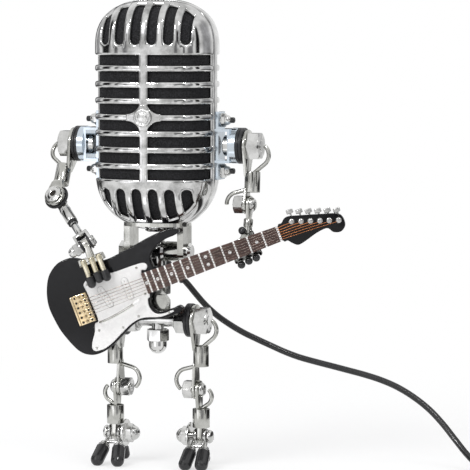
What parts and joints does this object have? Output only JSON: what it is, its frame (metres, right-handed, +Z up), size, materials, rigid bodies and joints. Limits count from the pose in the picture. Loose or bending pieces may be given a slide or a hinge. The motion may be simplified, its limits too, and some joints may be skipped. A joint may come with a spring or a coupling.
{
  "type": "novelty desk lamp",
  "caption": "Robot-shaped desk lamp: a slotted vintage-microphone lamp head on a jointed body of nuts, bolts and bent-wire links, holding a small electric guitar, with a USB cord.",
  "frame": {"origin": "on the desk, under the middle of the lamp's box, cord left out", "axes": "+X to the robot's left, where the guitar's neck points; -Y to the front, where the badge faces; +Z up through the head"},
  "size_m": [0.2954, 0.086, 0.2212],
  "materials": {
    "chrome_shell": "polished",
    "chrome_hardware": "polished fastener",
    "link_steel": "satin, bead blasted",
    "zinc_plate": "bright zinc plate",
    "black_rubber": "matt",
    "mesh_black": "matt black mesh",
    "lamp_white": "lamp board and diffuser",
    "guitar_black": "gloss black lacquer",
    "guitar_ivory": "gloss ivory",
    "neck_wood": "lacquered",
    "gold_plate": "gold plated",
    "nickel_trim": "nickel wire",
    "plug_black": "moulded black grip"
  },
  "bodies": {
    "torso": {"neck_spacer": "link_steel", "torso_knuckle": "chrome_shell", "torso_column": "link_steel", "pelvis_tube": "chrome_shell", "hip_couplings": "zinc_plate", "hip_washers": "black_rubber", "hip_bolts": "chrome_hardware", "crotch_nut": "chrome_hardware", "guitar_body": "guitar_black", "pickguard": "guitar_ivory", "guitar_neck": "neck_wood", "headstock": "guitar_black", "fretboard": "neck_wood", "frets": "nickel_trim", "bridge": "gold_plate", "tuners": "nickel_trim", "strings": "nickel_trim", "tremolo_arm": "guitar_ivory", "guitar_bracket": "link_steel", "cord_gland": "black_rubber", "power_cord": "black_rubber", "cord_coil": "black_rubber", "usb_plug": "plug_black"},
    "head": {"front_shell": "chrome_shell", "rear_shell": "chrome_shell", "rim_band": "chrome_shell", "grille_liner": "mesh_black", "centre_badge": "link_steel", "led_lamp": "lamp_white", "head_base": "chrome_shell", "bracket_right": "zinc_plate", "bracket_left": "zinc_plate", "bracket_nuts": "chrome_hardware", "shoulder_bolts": "chrome_hardware", "shoulder_washers": "black_rubber", "neck_bolt": "chrome_hardware"},
    "upper_arm_right": {"upper_arm_right": "link_steel"},
    "forearm_right": {"elbow_bolt_right": "chrome_hardware", "elbow_washer_right": "black_rubber", "forearm_right": "link_steel", "wrist_bolt_right": "chrome_hardware", "wrist_washers_right": "black_rubber"},
    "hand_right": {"hand_right": "gold_plate", "fingertips_right": "black_rubber"},
    "upper_arm_left": {"upper_arm_left": "link_steel"},
    "forearm_left": {"elbow_bolt_left": "chrome_hardware", "forearm_left": "link_steel", "fingertips_left": "black_rubber"},
    "thigh_right": {"thigh_right": "link_steel"},
    "thigh_left": {"thigh_left": "link_steel"},
    "shin_right": {"knee_bolt_right": "chrome_hardware", "shin_right": "link_steel", "ankle_bolt_right": "chrome_hardware"},
    "shin_left": {"knee_bolt_left": "chrome_hardware", "shin_left": "link_steel", "ankle_bolt_left": "chrome_hardware"},
    "foot_right": {"foot_right": "chrome_hardware", "toe_caps_right": "black_rubber"},
    "foot_left": {"foot_left": "chrome_hardware", "toe_caps_left": "black_rubber"}
  },
  "joints": [
    {"name": "head_tilt", "type": "hinge", "parent": "torso", "child": "head", "pos_m": [-0.01845, 0.00518, 0.102], "axis": [1, 0, 0], "range_deg": [-6, 0]},
    {"name": "shoulder_right", "type": "hinge", "parent": "head", "child": "upper_arm_right", "pos_m": [-0.06115, 0.00918, 0.1524], "axis": [1, 0, 0], "range_deg": [-60, 0]},
    {"name": "elbow_right", "type": "hinge", "parent": "upper_arm_right", "child": "forearm_right", "pos_m": [-0.06485, -0.00567, 0.12668], "axis": [-0.1391, -0.8576, 0.4951], "range_deg": [-10, 10]},
    {"name": "wrist_right", "type": "hinge", "parent": "forearm_right", "child": "hand_right", "pos_m": [-0.04493, -0.02054, 0.10653], "axis": [0.7806, 0.3126, 0.5412], "range_deg": [-40, 0]},
    {"name": "shoulder_left", "type": "hinge", "parent": "head", "child": "upper_arm_left", "pos_m": [0.02425, 0.00918, 0.1524], "axis": [1, 0, 0], "range_deg": [0, 75]},
    {"name": "elbow_left", "type": "hinge", "parent": "upper_arm_left", "child": "forearm_left", "pos_m": [0.02425, 0.00677, 0.12491], "axis": [1, 0, 0], "range_deg": [0, 60]},
    {"name": "hip_right", "type": "hinge", "parent": "torso", "child": "thigh_right", "pos_m": [-0.03645, 0.00518, 0.0695], "axis": [1, 0, 0], "range_deg": [-20, 30]},
    {"name": "hip_left", "type": "hinge", "parent": "torso", "child": "thigh_left", "pos_m": [-0.00045, 0.00518, 0.0695], "axis": [1, 0, 0], "range_deg": [-20, 30]},
    {"name": "knee_right", "type": "hinge", "parent": "thigh_right", "child": "shin_right", "pos_m": [-0.03645, 0.00518, 0.0365], "axis": [1, 0, 0], "range_deg": [-10, 60]},
    {"name": "knee_left", "type": "hinge", "parent": "thigh_left", "child": "shin_left", "pos_m": [-0.00045, 0.00518, 0.0365], "axis": [1, 0, 0], "range_deg": [-10, 60]},
    {"name": "ankle_right", "type": "hinge", "parent": "shin_right", "child": "foot_right", "pos_m": [-0.03645, 0.00518, 0.0142], "axis": [1, 0, 0], "range_deg": [-25, 25]},
    {"name": "ankle_left", "type": "hinge", "parent": "shin_left", "child": "foot_left", "pos_m": [-0.00045, 0.00518, 0.0142], "axis": [1, 0, 0], "range_deg": [-25, 25]}
  ]
}
